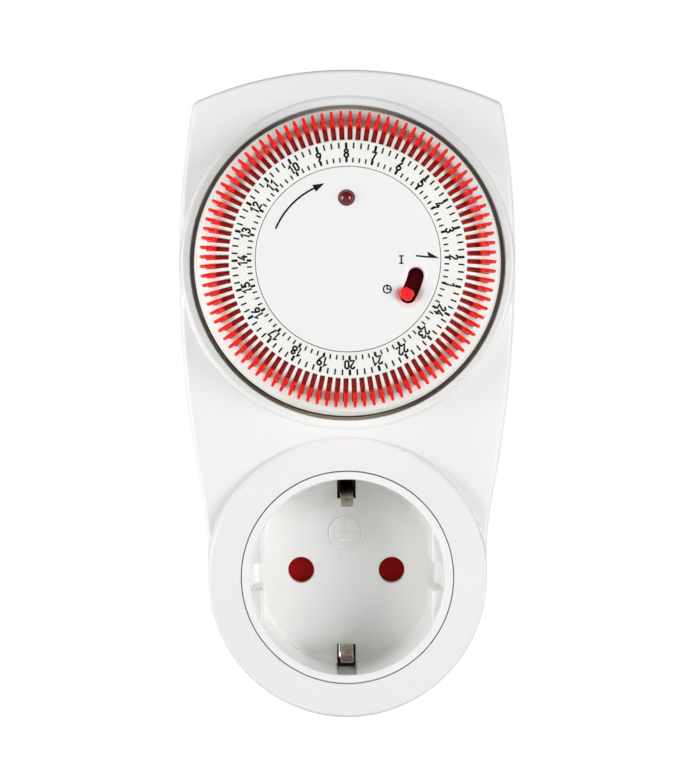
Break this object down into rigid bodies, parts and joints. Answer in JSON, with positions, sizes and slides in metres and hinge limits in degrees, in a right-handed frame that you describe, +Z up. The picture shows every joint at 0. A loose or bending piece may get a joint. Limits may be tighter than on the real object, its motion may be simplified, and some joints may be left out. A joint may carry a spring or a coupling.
{
  "type": "plug-in mechanical time switch",
  "caption": "Plug-in mechanical 24-hour time switch: a dial with push-down segments above an earthed round mains socket, with an integral plug at the back.",
  "frame": {"origin": "centre of the plug's end face, midway between the two pins", "axes": "+Y out of the plug's end face into the wall socket, so the front faces -Y; +Z up from the socket axis to the dial axis; +X to the right as seen from the front"},
  "size_m": [0.0692, 0.0822, 0.1312],
  "materials": {
    "housing": "smooth white satin moulding",
    "socket": "smooth white moulding",
    "dial": "warm white moulding with black printed numerals and ticks",
    "disc": "smooth white moulding with black prints",
    "segments": "bright red moulding",
    "knob": "bright red moulding",
    "shutter": "dark red moulding",
    "lens": "deep red clear dome",
    "lamp": "small clear bulb",
    "board": "paper-based circuit board",
    "nickel": "nickel plate",
    "steel": "zinc-plated steel",
    "brass": "stamped brass",
    "copper": "enamelled copper winding",
    "acetal": "natural acetal",
    "carrier": "cream insulating moulding",
    "black_plastic": "black moulding",
    "plunger": "small red button",
    "brown_wire": "brown insulated wire",
    "black_wire": "black insulated wire"
  },
  "bodies": {
    "housing": {"front_cover": "housing", "rear_cover": "housing", "socket_insert": "socket", "centre_disc": "disc", "indicator_lens": "lens", "neon_lamp": "lamp", "lamp_board": "board", "line_pin": "nickel", "neutral_pin": "nickel", "earth_strap_upper": "nickel", "earth_strap_lower": "nickel", "housing_screw_1": "steel", "housing_screw_2": "steel", "housing_screw_3": "steel", "housing_screw_4": "steel", "shutter_spring": "steel", "idler_axle": "steel", "motor_plate": "steel", "motor_can": "steel", "line_contact": "brass", "neutral_contact": "brass", "earth_bridge": "brass", "motor_coil": "copper", "contact_carrier": "carrier", "mechanism_plate": "black_plastic", "microswitch": "black_plastic", "line_wire": "brown_wire", "load_wire": "black_wire"},
    "dial": {"dial_ring": "dial", "dial_gear": "acetal"},
    "idler": {"idler_gear": "acetal"},
    "motor_output": {"output_pinion": "brass"},
    "override": {"override_slider": "knob"},
    "shutter_bar": {"shutter": "shutter"},
    "lever": {"switch_lever": "steel"},
    "plunger": {"switch_plunger": "plunger"},
    "hour_01": {"segments_hour_01": "segments"},
    "hour_02": {"segments_hour_02": "segments"},
    "hour_03": {"segments_hour_03": "segments"},
    "hour_04": {"segments_hour_04": "segments"},
    "hour_05": {"segments_hour_05": "segments"},
    "hour_06": {"segments_hour_06": "segments"},
    "hour_07": {"segments_hour_07": "segments"},
    "hour_08": {"segments_hour_08": "segments"},
    "hour_09": {"segments_hour_09": "segments"},
    "hour_10": {"segments_hour_10": "segments"},
    "hour_11": {"segments_hour_11": "segments"},
    "hour_12": {"segments_hour_12": "segments"},
    "hour_13": {"segments_hour_13": "segments"},
    "hour_14": {"segments_hour_14": "segments"},
    "hour_15": {"segments_hour_15": "segments"},
    "hour_16": {"segments_hour_16": "segments"},
    "hour_17": {"segments_hour_17": "segments"},
    "hour_18": {"segments_hour_18": "segments"},
    "hour_19": {"segments_hour_19": "segments"},
    "hour_20": {"segments_hour_20": "segments"},
    "hour_21": {"segments_hour_21": "segments"},
    "hour_22": {"segments_hour_22": "segments"},
    "hour_23": {"segments_hour_23": "segments"},
    "hour_24": {"segments_hour_24": "segments"}
  },
  "joints": [
    {"name": "dial_turn", "type": "hinge", "parent": "housing", "child": "dial", "pos_m": [0, -0.055, 0.063], "axis": [0, 1, 0], "continuous": true},
    {"name": "gear_idler_turn", "type": "hinge", "parent": "housing", "child": "idler", "pos_m": [-0.00896, -0.046, 0.03838], "axis": [0, 1, 0], "continuous": true},
    {"name": "gear_output_turn", "type": "hinge", "parent": "housing", "child": "motor_output", "pos_m": [0, -0.042, 0.052], "axis": [0, 1, 0], "continuous": true},
    {"name": "override_swing", "type": "hinge", "parent": "housing", "child": "override", "pos_m": [0, -0.059, 0.063], "axis": [0, -1, 0], "range_deg": [0, 18]},
    {"name": "pin_shutter_turn", "type": "hinge", "parent": "housing", "child": "shutter_bar", "pos_m": [0, -0.0313, 0], "axis": [0, -1, 0], "range_deg": [0, 45], "stiffness_Nm_per_rad": 0.0004},
    {"name": "lever_tilt", "type": "hinge", "parent": "housing", "child": "lever", "pos_m": [0.0239, -0.0427, 0.074], "axis": [1, 0, 0], "range_deg": [0, 4], "stiffness_Nm_per_rad": 0.02},
    {"name": "lever_plunger_press", "type": "slide", "parent": "housing", "child": "plunger", "axis": [0, 1, 0], "range_m": [0, 0.0008]},
    {"name": "segments_hour_01_press", "type": "slide", "parent": "dial", "child": "hour_01", "axis": [0, 1, 0], "range_m": [0, 0.0014]},
    {"name": "segments_hour_02_press", "type": "slide", "parent": "dial", "child": "hour_02", "axis": [0, 1, 0], "range_m": [0, 0.0014]},
    {"name": "segments_hour_03_press", "type": "slide", "parent": "dial", "child": "hour_03", "axis": [0, 1, 0], "range_m": [0, 0.0014]},
    {"name": "segments_hour_04_press", "type": "slide", "parent": "dial", "child": "hour_04", "axis": [0, 1, 0], "range_m": [0, 0.0014]},
    {"name": "segments_hour_05_press", "type": "slide", "parent": "dial", "child": "hour_05", "axis": [0, 1, 0], "range_m": [0, 0.0014]},
    {"name": "segments_hour_06_press", "type": "slide", "parent": "dial", "child": "hour_06", "axis": [0, 1, 0], "range_m": [0, 0.0014]},
    {"name": "segments_hour_07_press", "type": "slide", "parent": "dial", "child": "hour_07", "axis": [0, 1, 0], "range_m": [0, 0.0014]},
    {"name": "segments_hour_08_press", "type": "slide", "parent": "dial", "child": "hour_08", "axis": [0, 1, 0], "range_m": [0, 0.0014]},
    {"name": "segments_hour_09_press", "type": "slide", "parent": "dial", "child": "hour_09", "axis": [0, 1, 0], "range_m": [0, 0.0014]},
    {"name": "segments_hour_10_press", "type": "slide", "parent": "dial", "child": "hour_10", "axis": [0, 1, 0], "range_m": [0, 0.0014]},
    {"name": "segments_hour_11_press", "type": "slide", "parent": "dial", "child": "hour_11", "axis": [0, 1, 0], "range_m": [0, 0.0014]},
    {"name": "segments_hour_12_press", "type": "slide", "parent": "dial", "child": "hour_12", "axis": [0, 1, 0], "range_m": [0, 0.0014]},
    {"name": "segments_hour_13_press", "type": "slide", "parent": "dial", "child": "hour_13", "axis": [0, 1, 0], "range_m": [0, 0.0014]},
    {"name": "segments_hour_14_press", "type": "slide", "parent": "dial", "child": "hour_14", "axis": [0, 1, 0], "range_m": [0, 0.0014]},
    {"name": "segments_hour_15_press", "type": "slide", "parent": "dial", "child": "hour_15", "axis": [0, 1, 0], "range_m": [0, 0.0014]},
    {"name": "segments_hour_16_press", "type": "slide", "parent": "dial", "child": "hour_16", "axis": [0, 1, 0], "range_m": [0, 0.0014]},
    {"name": "segments_hour_17_press", "type": "slide", "parent": "dial", "child": "hour_17", "axis": [0, 1, 0], "range_m": [0, 0.0014]},
    {"name": "segments_hour_18_press", "type": "slide", "parent": "dial", "child": "hour_18", "axis": [0, 1, 0], "range_m": [0, 0.0014]},
    {"name": "segments_hour_19_press", "type": "slide", "parent": "dial", "child": "hour_19", "axis": [0, 1, 0], "range_m": [0, 0.0014]},
    {"name": "segments_hour_20_press", "type": "slide", "parent": "dial", "child": "hour_20", "axis": [0, 1, 0], "range_m": [0, 0.0014]},
    {"name": "segments_hour_21_press", "type": "slide", "parent": "dial", "child": "hour_21", "axis": [0, 1, 0], "range_m": [0, 0.0014]},
    {"name": "segments_hour_22_press", "type": "slide", "parent": "dial", "child": "hour_22", "axis": [0, 1, 0], "range_m": [0, 0.0014]},
    {"name": "segments_hour_23_press", "type": "slide", "parent": "dial", "child": "hour_23", "axis": [0, 1, 0], "range_m": [0, 0.0014]},
    {"name": "segments_hour_24_press", "type": "slide", "parent": "dial", "child": "hour_24", "axis": [0, 1, 0], "range_m": [0, 0.0014]}
  ],
  "couplings": [
    {"joint": "gear_idler_turn", "follows": "dial_turn", "ratio": -6.25},
    {"joint": "gear_output_turn", "follows": "dial_turn", "ratio": 21.875},
    {"joint": "lever_plunger_press", "follows": "lever_tilt", "m_per_rad": 0.011}
  ]
}
